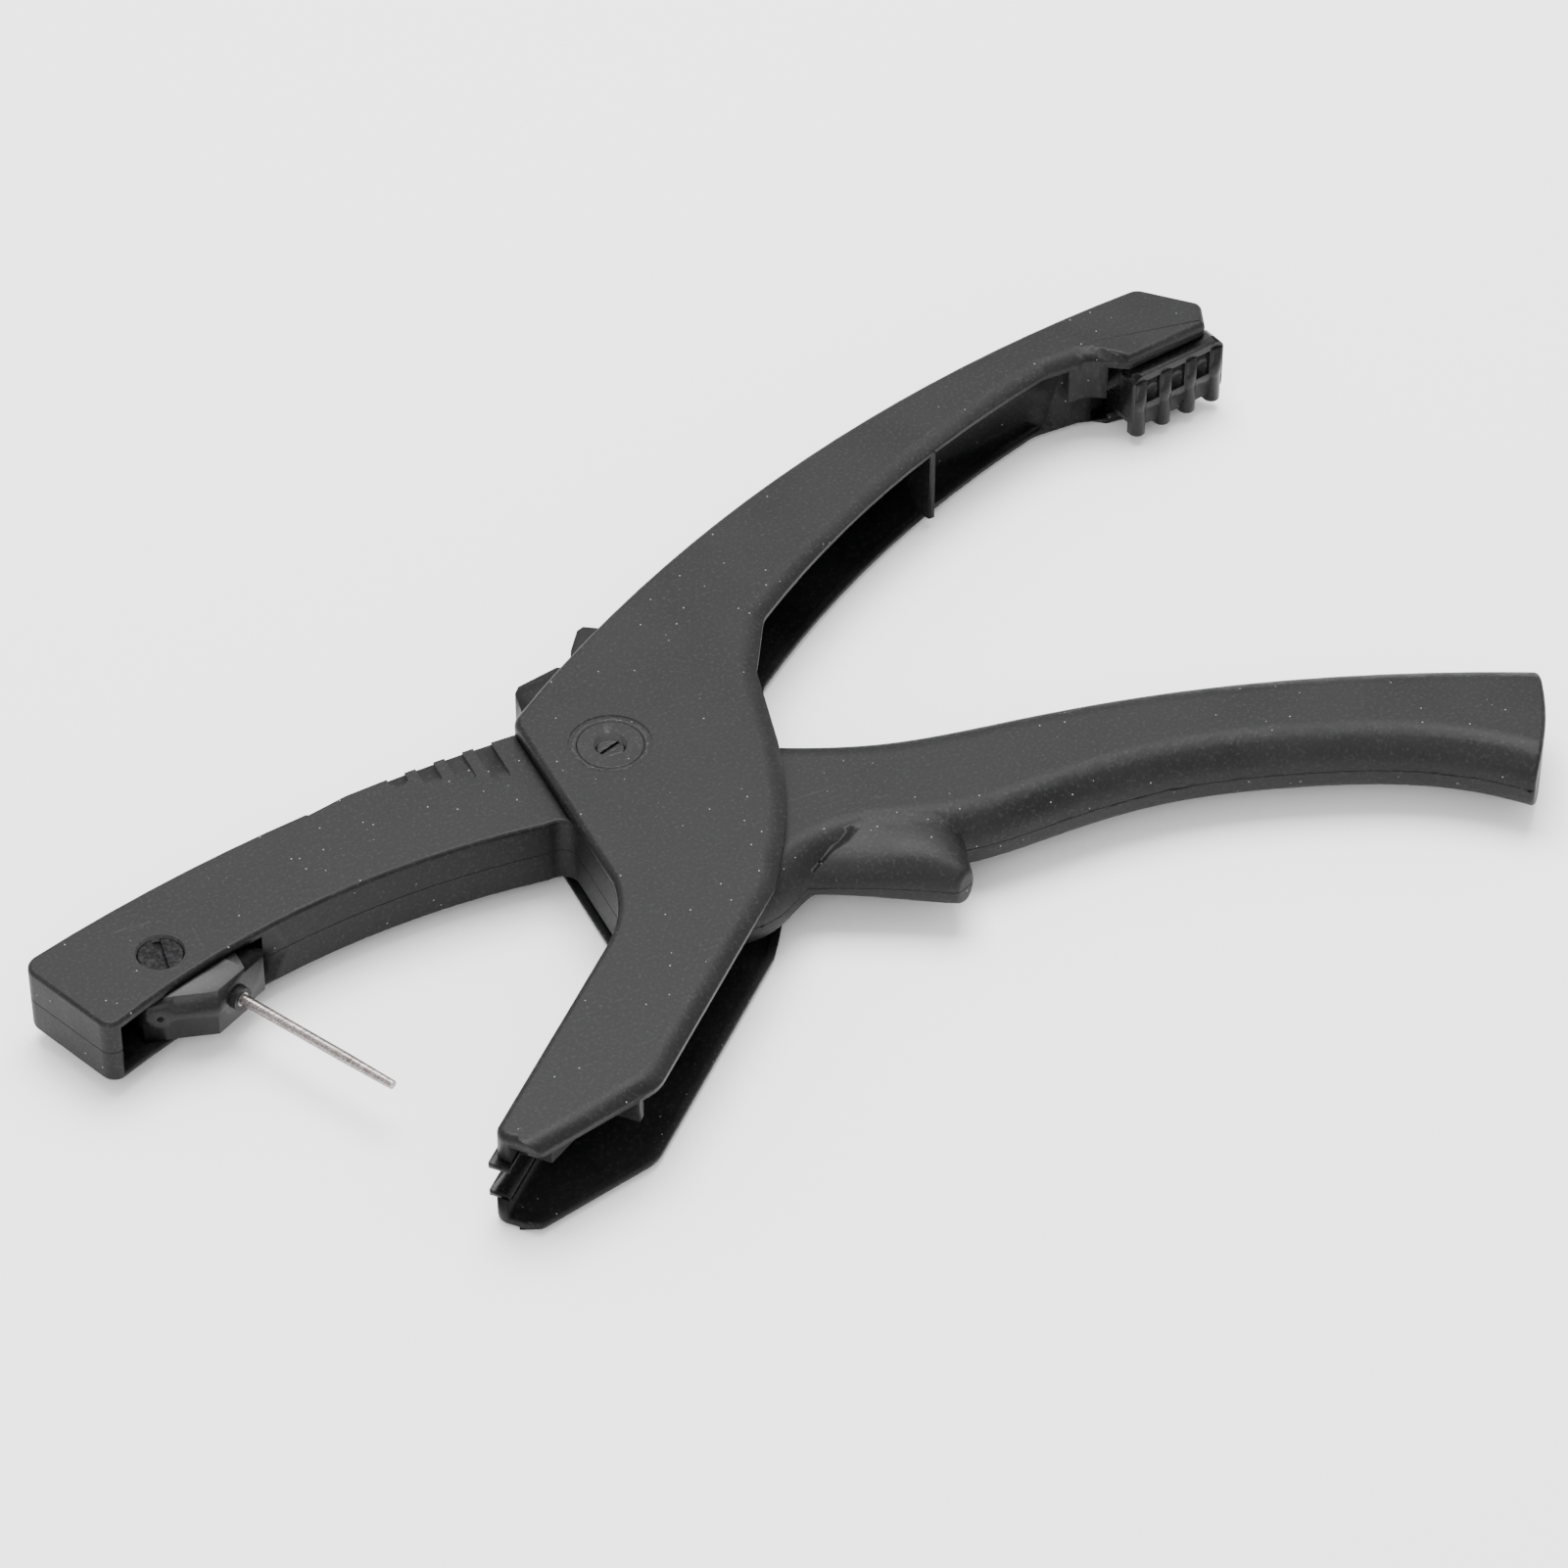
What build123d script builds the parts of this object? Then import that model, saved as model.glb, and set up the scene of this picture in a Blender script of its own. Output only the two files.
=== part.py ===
from build123d import *
from math import atan2, cos, degrees, hypot, radians, sin, sqrt
import os

os.makedirs("parts", exist_ok=True)

# Ear-tag applicator pliers. The origin is on the pivot axis, in the plane that the tool rests on.
# +Z runs up the pivot axis, +X towards the handles, and the mouth opens towards -X.

# Overall sizes
body_height = 20.0
handle_reach = 138.0
jaw_reach = 91.5
lever_tip_reach = 108.6
lever_grip_reach = 155.8

# Walls of the yoke
plate = 2.8
web = 3.0
side_clearance = 0.5
rib = 1.6
rib_depth = 4.5
bevel_width = 3.5
bevel_drop = 1.5
floor_recess = 0.5
floor_rim = 1.3

# Back edge of the yoke: an arc round a far centre
back_radius = 293.5
pivot_to_back = 17.8
back_lean = -52.7

# Lower jaw of the yoke
jaw_angle = -136.8
jaw_mouth_offset = 18.2
jaw_width = 20.2
jaw_tip_width = 8.4
jaw_bevel_length = 21.0
lower_jaw_extra = 1.0

# Fork insert in the tip of the lower jaw
slot_height = 5.0
slot_length = 19.5
fork_wall = 1.3
fork_lip = 0.5
fork_lip_length = 4.4
fork_tip_lip = 0.8
pad_depth = 3.6

# Grip end of the yoke, and the thumb slide in it
grip_angle = 10.5
lower_handle_setback = 3.0
handle_sagitta = 3.8
grip_lip = 1.3
latch_travel = 3.0
latch_length = 20.6
latch_plate = 4.2
latch_under = 1.2
latch_end_room = 0.8
latch_height = 11.6
latch_corner = 1.8
latch_tongue_length = 12.0
latch_tongue_depth = 6.4
latch_stop_gap = 0.4
latch_clearance = 0.2
latch_leaf = 0.45
latch_rail = 0.9
latch_rail_width = 1.2
latch_ribs = 4
latch_rib_pitch = 5.8
latch_rib_radius = 1.55
latch_rib_inset = 0.8
latch_rib_drop = 1.8
latch_pocket_radius = 2.1
latch_ledge = 4.8
latch_brow = 1.4

# Lever
lever_wall = 2.3
lever_back_radius = 291.2
jaw_back_y = 12.2
hub_wall = 5.7
grip_round = 6.2
grip_wall = 3.2
grip_bulge = 1.6
end_wall = 2.6
stop_gap = 0.4
flute_radius = 1.7
flute_depth = 0.5
flute_pitch = 5.45

# Pivot
post_radius = 5.9
running_fit = 0.05
lever_bush_wall = 1.1
washer_width = 3.4
washer_thickness = 0.4
pivot_recess = 0.2
pivot_head_radius = 2.4
pivot_head_clearance = 0.5
pivot_head_height = 1.0
pivot_head_depth = 0.9
pivot_slot_depth = 0.5
pivot_shank_radius = 1.5
post_flange = 1.7
post_flange_height = 1.2
scar_width = 1.4
scar_depth = 0.25
screw_slot = 0.9

# Pin carrier and its screw
carrier_from_tip = 22.1
carrier_from_back = 14.0
carrier_height = 9.8
carrier_clearance = 0.2
carrier_hub_height = 7.4
carrier_hook_height = 7.6
carrier_boss_radius = 5.0
jaw_head_radius = 4.0
jaw_head_height = 1.4
jaw_head_recess = 0.5
jaw_slot = 1.4
jaw_slot_depth = 0.9
jaw_shank_radius = 2.0
carrier_bush_wall = 1.0
insert_radius = 3.4
insert_height = 2.0

# Pin
pin_radius = 0.95
pin_shank_radius = 1.25
pin_tip_radius = 0.78
pin_length = 42.0
pin_straight = 32.0
pin_angle = -62.6
collar_radius = 2.1
collar_length = 3.2

# Return spring
wire = 1.4
coil_clearance = 0.95
spring_turns = 5
coil_gap = 0.1
coil_start_angle = 35.0
lever_leg = 21.0
anchor_leg = 16.5

# Screws that hold the lever's shells together
shell_screw_radius = 1.2
shell_screw_length = 9.0
shell_head_radius = 2.4
shell_head_height = 1.6
shell_boss_radius = 3.4

washer_outer = post_radius + running_fit + washer_width
lever_low = plate + side_clearance
lever_high = body_height - plate - side_clearance
mid_height = body_height / 2
channel_top = body_height - plate
cavity_half = carrier_height / 2 + carrier_clearance
post_flange_radius = post_radius + post_flange
bush_outer = post_radius + running_fit + lever_bush_wall
coil_radius = bush_outer + coil_clearance + wire / 2
hub_radius = coil_radius + hub_wall


def polar_point(length, angle, start=(0.0, 0.0)):
    """Point at a distance and an angle from a start point."""
    return (start[0] + length * cos(radians(angle)), start[1] + length * sin(radians(angle)))


def shifted(start, x, y):
    """Point moved by x and y from a start point."""
    return (start[0] + x, start[1] + y)


def jaw_point(along, across):
    """Point in the lower jaw's own directions: along it, and across it away from the mouth."""
    return polar_point(across, jaw_angle + 90, polar_point(along, jaw_angle))


back_centre = polar_point(back_radius - pivot_to_back, back_lean)


def back_point(x, inset=0.0):
    """Point on the yoke's back arc at x, moved in by a wall."""
    radius = back_radius - inset
    return (x, back_centre[1] + sqrt(radius**2 - (x - back_centre[0]) ** 2))


grip_corner = back_point(handle_reach)
grip_start = shifted(grip_corner, -10.5, -16.6)


def grip_point(along, across):
    """Point in the grip end's own directions: out along it, and across it towards the back edge."""
    return polar_point(across, grip_angle + 90, polar_point(along, grip_angle, grip_start))


def lever_back_point(x, inset=0.0):
    """Point on the back arc of the lever's jaw at x, moved in by a wall."""
    radius = lever_back_radius - inset
    centre_y = jaw_back_y - lever_back_radius
    return (x, centre_y + sqrt(radius**2 - (x + 10.8) ** 2))


def round_corners(sketch, corners):
    """Fillet the sketch vertex nearest to each listed point."""
    for corner, radius in corners:
        fillet(sketch.vertices().sort_by_distance(corner)[0], radius)


def along_grip(x, y):
    """Point on the lever's grip, moved along it in step with the grip's length."""
    return (grip_root + (x - grip_root) * (lever_grip_reach - grip_root) / grip_length, y)


carrier_x = carrier_from_tip - lever_tip_reach
carrier_axis = shifted(lever_back_point(carrier_x), 0.0, -carrier_from_back)
grip_root = 60.0
grip_length = 95.8
shell_screw_places = ((-44.0, 0.4), along_grip(62.0, -29.0), along_grip(112.0, -38.5))

# ------------------------------------------------------------------ anvil arm: the yoke
heel = back_point(-12.8)
throat = (heel[0], -30.0)
jaw_mouth_root = jaw_point(44.0, jaw_mouth_offset)
jaw_back_tip = jaw_point(jaw_reach - jaw_bevel_length, jaw_mouth_offset + jaw_width)
jaw_back_root = jaw_point(20.8, jaw_mouth_offset + jaw_width)
cheek_low = (26.7, -10.3)
cheek_high = (31.0, 7.8)
crotch = (38.0, 20.0)
grip_neck = shifted(grip_start, -15.4, 2.6)
grip_step = shifted(grip_start, -6.4, 2.8)
grip_inner_end = grip_point(17.4, -grip_lip)
grip_end = grip_point(20.6, 4.0)
ear_corners = (
    (3.0, 1.0),
    (4.4, 9.2),
    (5.6, 10.6),
    (13.6, 12.4),
    (15.6, 11.4),
    (17.6, 15.4),
    (20.6, 19.6),
    (22.0, 20.2),
    (24.2, 18.8),
    (25.5, 12.0),
)

roof = jaw_back_y + stop_gap
web_inner_radius = back_radius - web
roof_start = (back_centre[0] - sqrt(web_inner_radius**2 - (roof - back_centre[1]) ** 2), roof)
channel_end = back_point(grip_neck[0], web)
web_top = throat[1] - 2.5


jaw_ribs = (30.0, 52.0, jaw_reach - 19.0)
jaw_rib_end = jaw_mouth_offset + jaw_width - 2.0
handle_rib_x = 80.0
handle_rib_drop = 9.6
handle_rib = 1.1
pad_corners = (
    (jaw_reach - 9.0, jaw_mouth_offset + 2.5),
    (jaw_reach - 9.0, jaw_mouth_offset + 10.3),
    (jaw_reach - 3.0, jaw_mouth_offset + 9.0),
    (jaw_reach - 3.0, jaw_mouth_offset + 2.5),
)
fork_inner = jaw_reach - slot_length
fork_back = jaw_mouth_offset + web + 0.3
fork_notch = (
    (fork_inner - fork_wall, jaw_mouth_offset - 1.0),
    (jaw_reach + 5.0, jaw_mouth_offset - 1.0),
    (jaw_reach + 5.0, fork_back),
    (fork_inner - fork_wall, fork_back),
)
fork_corners = (
    (fork_inner - fork_wall, jaw_mouth_offset),
    (jaw_reach - fork_lip_length, jaw_mouth_offset),
    (jaw_reach - fork_lip_length + fork_lip, jaw_mouth_offset - fork_lip),
    (jaw_reach + fork_tip_lip, jaw_mouth_offset - fork_lip),
    (jaw_reach + fork_tip_lip, fork_back),
    (fork_inner - fork_wall, fork_back),
)
fork_slot = (
    (fork_inner, jaw_mouth_offset - 5.0),
    (jaw_reach + 5.0, jaw_mouth_offset - 5.0),
    (jaw_reach + 5.0, fork_back + 5.0),
    (fork_inner, fork_back + 5.0),
)

coil_pitch = wire + coil_gap
coil_low = mid_height - coil_pitch * spring_turns / 2
coil_high = mid_height + coil_pitch * spring_turns / 2
coil_foot = polar_point(coil_radius, coil_start_angle)
coil_plane = Plane(origin=(0, 0, coil_low), x_dir=(*polar_point(1.0, coil_start_angle), 0))
anchor_direction = polar_point(1.0, coil_start_angle + 90.0)
anchor_plane = Plane(origin=(*coil_foot, coil_high), z_dir=(*anchor_direction, 0))
lever_leg_plane = Plane(origin=(*coil_foot, coil_low), z_dir=(-anchor_direction[0], -anchor_direction[1], 0))
screw_slot_turn = 20.0
coil_room = coil_radius + wire / 2 + 0.5
leg_room = wire / 2 + 0.4
anchor_window = [polar_point(17.5, angle) for angle in (95.0, 80.0, 60.0, 40.0)]
anchor_window.append(polar_point(11.0, 20.0))
leg_tip_angle = coil_start_angle - degrees(atan2(lever_leg, coil_radius))
leg_window_reach = hypot(coil_radius, lever_leg) + 1.8
lever_leg_window = [polar_point(leg_window_reach, leg_tip_angle + turn) for turn in (1.5, -17.5, -35.5)]
lever_leg_window.insert(0, polar_point(coil_room, coil_start_angle))
grip_hollow_start = 36.0
jaw_hollow_start = -64.0
jaw_hollow_end = -24.0
carrier_hub_half = carrier_hub_height / 2
carrier_bush_outer = jaw_shank_radius + carrier_bush_wall
jaw_head_base = lever_high - jaw_head_recess - jaw_head_height
jaw_slot_turn = 82.4
shell_screw_depth = shell_screw_length - mid_height + lever_low + 0.4
flute_count = 4
flute_start = -18.7
flute_length = 8.0
flute_shortening = 2.0
leaf_width = 6.0
leaf_corners = ((-8.0, 7.6), (0.0, 7.3), (8.0, 6.0), (8.2, 6.5), (0.0, 7.8), (-8.0, 8.1))
carrier_room = (
    (-12.8 + end_wall, -16.0),
    (-21.1 + end_wall, 5.0),
    (-10.0, 8.5),
    (-2.0, 8.6),
    (10.0, 6.8),
    (17.0, 1.0),
    (17.0, -14.0),
    (6.0, -20.0),
)
carrier_corners = (
    (-6.5, -7.7),
    (-1.0, -8.9),
    (5.6, -10.8),
    (15.9, -5.3),
    (16.5, -3.6),
    (12.5, -0.4),
    (4.5, 5.0),
    (-4.0, 5.5),
    (-7.4, -1.0),
)
carrier_hook_start = 11.8
collar_start = 6.4
tongue_start = 0.4
latch_face = latch_plate - latch_under
rail_inner = latch_tongue_depth - latch_rail_width - 0.4
pocket_start = tongue_start - latch_travel - latch_stop_gap
pocket_end = latch_tongue_length + 2.0
leaf_front = latch_tongue_depth + 0.05
pocket_back = leaf_front + latch_leaf


def box_corners(along_low, along_high, across_low, across_high):
    """Four corners of a rectangle in the grip end's own directions."""
    corners = [(along_low, across_low), (along_high, across_low)]
    corners += [(along_high, across_high), (along_low, across_high)]
    return [grip_point(along, across) for along, across in corners]


def inset_corner(before, corner, after, amount):
    """Corner moved in so that both of its sides move left by an amount."""
    side_in = (Vector(*corner) - Vector(*before)).normalized()
    side_out = (Vector(*after) - Vector(*corner)).normalized()
    left_in = Vector(-side_in.Y, side_in.X)
    left_out = Vector(-side_out.Y, side_out.X)
    moved = Vector(*corner) + (left_in + left_out) * (amount / (1 + left_in.dot(left_out)))
    return (moved.X, moved.Y)


def yoke_plan(bevel, lower):
    """Outline of a plate, with the sides that look inwards moved in by a bevel. The lower plate is set back
    along the handle and runs on a little at the jaw's tip."""
    setback = lower_handle_setback if lower else 0.0
    extra = lower_jaw_extra if lower else 0.0
    reach = jaw_reach + extra
    start = shifted(grip_point(0.0, -grip_lip), 0.0, 1.8 * setback)
    inner_end = shifted(grip_inner_end, 0.0, 0.5 * setback)
    step = shifted(grip_step, 0.0, setback)
    neck = shifted(grip_neck, 0.0, setback)
    back_tip = shifted(jaw_back_tip, *polar_point(extra, jaw_angle))
    front_tip = jaw_point(reach, jaw_mouth_offset + jaw_tip_width)
    mouth_tip = jaw_point(reach, jaw_mouth_offset)
    path = (start, step, neck, crotch, cheek_high, cheek_low, jaw_back_root, back_tip, front_tip)
    inner = [inset_corner(*path[i - 1 : i + 2], -bevel) for i in range(1, len(path) - 1)]
    step, neck, fork, high, low, root, back_tip = inner
    front_tip = jaw_point(reach, jaw_mouth_offset + jaw_tip_width - bevel)
    with BuildSketch(mode=Mode.PRIVATE) as plan:
        with BuildLine():
            ThreePointArc(heel, back_point(handle_reach / 2), grip_corner)
            Polyline(grip_corner, grip_end, inner_end, start, step, neck)
            SagittaArc(neck, fork, -handle_sagitta)
            Polyline(fork, high, low)
            SagittaArc(low, root, 1.6)
            Polyline(root, back_tip, front_tip, mouth_tip, jaw_mouth_root)
            SagittaArc(jaw_mouth_root, throat, -1.2)
            Line(throat, heel)
        make_face()
        round_corners(
            plan,
            (
                (heel, 3.5),
                (grip_corner, 3.0),
                (grip_end, 2.0),
                (inner_end, 1.0),
                (neck, 7.0),
                (step, 5.0),
                (fork, 6.0),
                (high, 8.0),
                (back_tip, 7.0),
                (front_tip, 1.5),
                (mouth_tip, 2.4),
            ),
        )
    return plan.sketch


with BuildPart() as anvil_arm_body:
    for lower, side_level, face_level in (
        (False, body_height - bevel_drop, body_height),
        (True, bevel_drop, 0.0),
    ):
        with BuildSketch(Plane.XY.offset(side_level)):
            add(yoke_plan(0.0, lower))
        extrude(amount=mid_height - side_level)
        # Shallow bevel along the inner edges of the face
        with BuildSketch(Plane.XY.offset(side_level)):
            add(yoke_plan(0.0, lower))
        with BuildSketch(Plane.XY.offset(face_level)):
            add(yoke_plan(bevel_width, lower))
        loft(ruled=True)
    # Ears on the back web, on both sides of the spring's anchor
    with BuildSketch(Plane.XY.offset(lever_low)):
        Polygon(*[shifted(heel, x, y) for x, y in ear_corners], align=None)
    extrude(amount=lever_high - lever_low)
    # Open channel between the plates, walled by the back web and by the mouth side of the jaw
    with BuildSketch(Plane.XY.offset(plate)) as channel_plan:
        with BuildLine():
            ThreePointArc(roof_start, back_point(handle_reach / 2, web), channel_end)
            Polyline(
                channel_end,
                shifted(grip_neck, 5.0, 2.0),
                shifted(grip_neck, 9.0, -20.0),
                (cheek_low[0] + 40.0, -60.0),
                jaw_point(20.0, 60.0),
                jaw_point(jaw_reach + 20.0, 60.0),
                jaw_point(jaw_reach + 20.0, jaw_mouth_offset + web),
                jaw_point(42.0, jaw_mouth_offset + web),
                (throat[0] + web, web_top),
                (-60.0, web_top),
                (-60.0, roof),
                roof_start,
            )
        make_face()
    extrude(amount=channel_top - plate, mode=Mode.SUBTRACT)
    # Shallow recess in both floors of the channel, inside a raised rim and round the thrust washers
    for lower, level in ((True, plate - floor_recess), (False, channel_top)):
        with BuildSketch(Plane.XY.offset(level)):
            add(yoke_plan(floor_rim, lower))
            add(channel_plan.sketch_local, mode=Mode.INTERSECT)
            Circle(washer_outer + floor_rim, mode=Mode.SUBTRACT)
        extrude(amount=floor_recess, mode=Mode.SUBTRACT)
    # Pocket of the thumb slide, with a groove in each plate for the slide's rails
    with BuildSketch(Plane.XY.offset(plate)):
        Polygon(*box_corners(pocket_start, pocket_end, -latch_face, pocket_back), align=None)
    extrude(amount=channel_top - plate, mode=Mode.SUBTRACT)
    with BuildSketch(Plane.XY.offset(plate - latch_rail - latch_clearance / 2)):
        Polygon(
            *box_corners(
                pocket_start,
                pocket_end,
                rail_inner - latch_clearance,
                rail_inner + latch_rail_width + latch_clearance,
            ),
            align=None,
        )
    extrude(amount=channel_top - plate + 2 * latch_rail + latch_clearance, mode=Mode.SUBTRACT)
    # Room for the part of the slide's plate that runs in under the upper plate, right to its end
    with BuildSketch(Plane.XY.offset(plate)):
        Polygon(
            *box_corners(
                pocket_start,
                latch_length + latch_end_room,
                -latch_face,
                latch_under + latch_clearance,
            ),
            align=None,
        )
    extrude(amount=channel_top - plate, mode=Mode.SUBTRACT)
    # Ribs: short ones under the jaw's upper plate, and one right across the handle
    for along in jaw_ribs:
        rib_corners = (
            jaw_point(along, jaw_mouth_offset + web - 0.5),
            jaw_point(along, jaw_rib_end),
            jaw_point(along + rib, jaw_rib_end),
            jaw_point(along + rib, jaw_mouth_offset + web - 0.5),
        )
        with BuildSketch(Plane.XY.offset(channel_top - rib_depth)):
            Polygon(*rib_corners, align=None)
        extrude(amount=rib_depth + floor_recess)
    handle_rib_corners = (
        back_point(handle_rib_x, web - 0.5),
        shifted(back_point(handle_rib_x, web), 4.0, -handle_rib_drop),
        shifted(back_point(handle_rib_x, web), 4.0 + handle_rib, -handle_rib_drop),
        back_point(handle_rib_x + handle_rib, web - 0.5),
    )
    with BuildSketch(Plane.XY.offset(plate - floor_recess)):
        Polygon(*handle_rib_corners, align=None)
    extrude(amount=channel_top - plate + 2 * floor_recess)
    # Pad under the upper plate that backs the fork
    with BuildSketch(Plane.XY.offset(channel_top - pad_depth)):
        Polygon(*[jaw_point(x, y) for x, y in pad_corners], align=None)
    extrude(amount=pad_depth + floor_recess)
    # Notch for the fork in the web, open at the tip
    with BuildSketch(Plane.XY.offset(mid_height - slot_height / 2 - fork_wall)):
        Polygon(*[jaw_point(x, y) for x, y in fork_notch], align=None)
    extrude(amount=slot_height + 2 * fork_wall, mode=Mode.SUBTRACT)
    # Bore of the pivot, with a seat for the flange of its post and a ring where its cap is spun in
    for radius, base, depth in (
        (post_radius, 0.0, body_height),
        (post_flange_radius, 0.0, post_flange_height),
        (post_radius + scar_width, body_height - scar_depth, scar_depth),
    ):
        with BuildSketch(Plane.XY.offset(base)):
            Circle(radius)
        extrude(amount=depth, mode=Mode.SUBTRACT)
    # Hole in the web for the spring's anchor leg
    with BuildSketch(anchor_plane):
        Circle(wire / 2)
    extrude(amount=anchor_leg, mode=Mode.SUBTRACT)

anvil_arm_body.part.label = "anvil_arm_body"
export_step(anvil_arm_body.part, "parts/anvil_arm_body.step")

# ------------------------------------------------------------------ anvil arm: fork insert
with BuildPart() as anvil_fork:
    with BuildSketch(Plane.XY.offset(mid_height - slot_height / 2 - fork_wall)):
        Polygon(*[jaw_point(x, y) for x, y in fork_corners], align=None)
    extrude(amount=slot_height + 2 * fork_wall)
    with BuildSketch(Plane.XY.offset(mid_height - slot_height / 2)):
        Polygon(*[jaw_point(x, y) for x, y in fork_slot], align=None)
    extrude(amount=slot_height, mode=Mode.SUBTRACT)

anvil_fork.part.label = "anvil_fork"
export_step(anvil_fork.part, "parts/anvil_fork.step")

# ------------------------------------------------------------------ pivot
cap_high = body_height - pivot_recess
pivot_head_top = cap_high - pivot_head_depth
pivot_head_base = pivot_head_top - pivot_head_height
thread_end = plate

with BuildPart() as pivot_post:
    with BuildSketch(Plane.XY):
        Circle(post_flange_radius)
    extrude(amount=post_flange_height)
    with BuildSketch(Plane.XY):
        Circle(post_radius)
    extrude(amount=channel_top)
    with BuildSketch(Plane.XY.offset(thread_end)):
        Circle(pivot_shank_radius)
    extrude(amount=body_height, mode=Mode.SUBTRACT)

pivot_post.part.label = "pivot_post"
export_step(pivot_post.part, "parts/pivot_post.step")

with BuildPart() as pivot_cap:
    with BuildSketch(Plane.XY.offset(channel_top)):
        Circle(post_radius)
        Circle(pivot_shank_radius, mode=Mode.SUBTRACT)
    extrude(amount=cap_high - channel_top)
    with BuildSketch(Plane.XY.offset(pivot_head_base)):
        Circle(pivot_head_radius + pivot_head_clearance)
    extrude(amount=body_height, mode=Mode.SUBTRACT)
    chamfer(pivot_cap.edges().group_by(Axis.Z)[-1].sort_by(SortBy.LENGTH)[-1], 0.3)

pivot_cap.part.label = "pivot_cap"
export_step(pivot_cap.part, "parts/pivot_cap.step")

with BuildPart() as pivot_screw:
    with BuildSketch(Plane.XY.offset(thread_end + 1.0)):
        Circle(pivot_shank_radius)
    extrude(amount=pivot_head_base - thread_end - 1.0)
    with BuildSketch(Plane.XY.offset(pivot_head_base)):
        Circle(pivot_head_radius)
    extrude(amount=pivot_head_height)
    fillet(pivot_screw.edges().group_by(Axis.Z)[-1], 0.2)
    with BuildSketch(Plane.XY.offset(pivot_head_top)):
        Rectangle(4 * pivot_head_radius, screw_slot, rotation=screw_slot_turn)
    extrude(amount=-pivot_slot_depth, mode=Mode.SUBTRACT)

pivot_screw.part.label = "pivot_screw"
export_step(pivot_screw.part, "parts/pivot_screw.step")

washer_inner = post_radius + running_fit
for name, base in (("lower_thrust_washer", plate), ("upper_thrust_washer", channel_top - washer_thickness)):
    with BuildPart() as thrust_washer:
        with BuildSketch(Plane.XY.offset(base)):
            Circle(washer_outer)
            Circle(washer_inner, mode=Mode.SUBTRACT)
        extrude(amount=washer_thickness)
    thrust_washer.part.label = name
    export_step(thrust_washer.part, f"parts/{name}.step")

# ------------------------------------------------------------------ return spring, drawn fully wound
with BuildPart() as return_spring:
    with BuildLine(coil_plane) as coil_path:
        Helix(pitch=coil_pitch, height=coil_pitch * spring_turns, radius=coil_radius)
    with BuildSketch(Plane(origin=coil_path.line @ 0, z_dir=coil_path.line % 0)):
        Circle(wire / 2)
    sweep(path=coil_path.line)
    with BuildSketch(anchor_plane):
        Circle(wire / 2)
    extrude(amount=anchor_leg)
    with BuildSketch(lever_leg_plane):
        Circle(wire / 2)
    extrude(amount=lever_leg)

return_spring.part.label = "return_spring"
export_step(return_spring.part, "parts/return_spring.step")

# ------------------------------------------------------------------ lever: jaw, hub and grip
lever_tip_back = lever_back_point(-lever_tip_reach)
lever_tip_front = shifted(lever_tip_back, 8.1, -20.5)
jaw_root_front = (-16.6, -10.7)
grip_tip_top = (lever_grip_reach, -44.4)
grip_tip_low = (lever_grip_reach - 13.4, -68.2)

with BuildSketch() as lever_jaw_plan:
    with BuildLine():
        ThreePointArc(lever_tip_back, lever_back_point(-lever_tip_reach / 2), lever_back_point(-10.8))
        Polyline(
            lever_back_point(-10.8),
            (7.6, jaw_back_y),
        )
        ThreePointArc((7.6, jaw_back_y), polar_point(hub_radius, 30.0), (hub_radius, 0.0))
        Polyline(
            (hub_radius, 0.0),
            (22.0, -14.0),
            (17.0, -30.0),
            (-3.0, -36.5),
            (throat[0] + web + 1.4, web_top + stop_gap),
            (throat[0] + 0.6, web_top + stop_gap),
            (throat[0] + 0.6, -10.4),
            jaw_root_front,
        )
        SagittaArc(jaw_root_front, lever_tip_front, -6.1)
        Line(lever_tip_front, lever_tip_back)
    make_face()
    round_corners(
        lever_jaw_plan,
        ((lever_tip_back, 3.0), (lever_tip_front, 2.6), ((throat[0] + 0.6, -10.4), 3.0)),
    )

grip_upper = (
    (12.0, 3.5),
    (30.6, -7.4),
    (45.0, -13.0),
    along_grip(67.0, -16.9),
    along_grip(93.0, -21.6),
    along_grip(126.1, -31.6),
    grip_tip_top,
)
grip_lower = (
    grip_tip_low,
    along_grip(131.4, -58.0),
    along_grip(109.3, -47.4),
    along_grip(84.5, -41.0),
    along_grip(66.0, -40.4),
    (46.0, -39.6),
    (30.0, -35.4),
    (21.0, -36.6),
    (13.0, -41.0),
    (4.0, -41.6),
    (-4.0, -36.0),
)
with BuildSketch() as lever_grip_plan:
    with BuildLine():
        Spline(*grip_upper)
        SagittaArc(grip_tip_top, grip_tip_low, grip_bulge)
        Spline(*grip_lower)
        Polyline(grip_lower[-1], (-4.0, -20.0), grip_upper[0])
    make_face()

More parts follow.
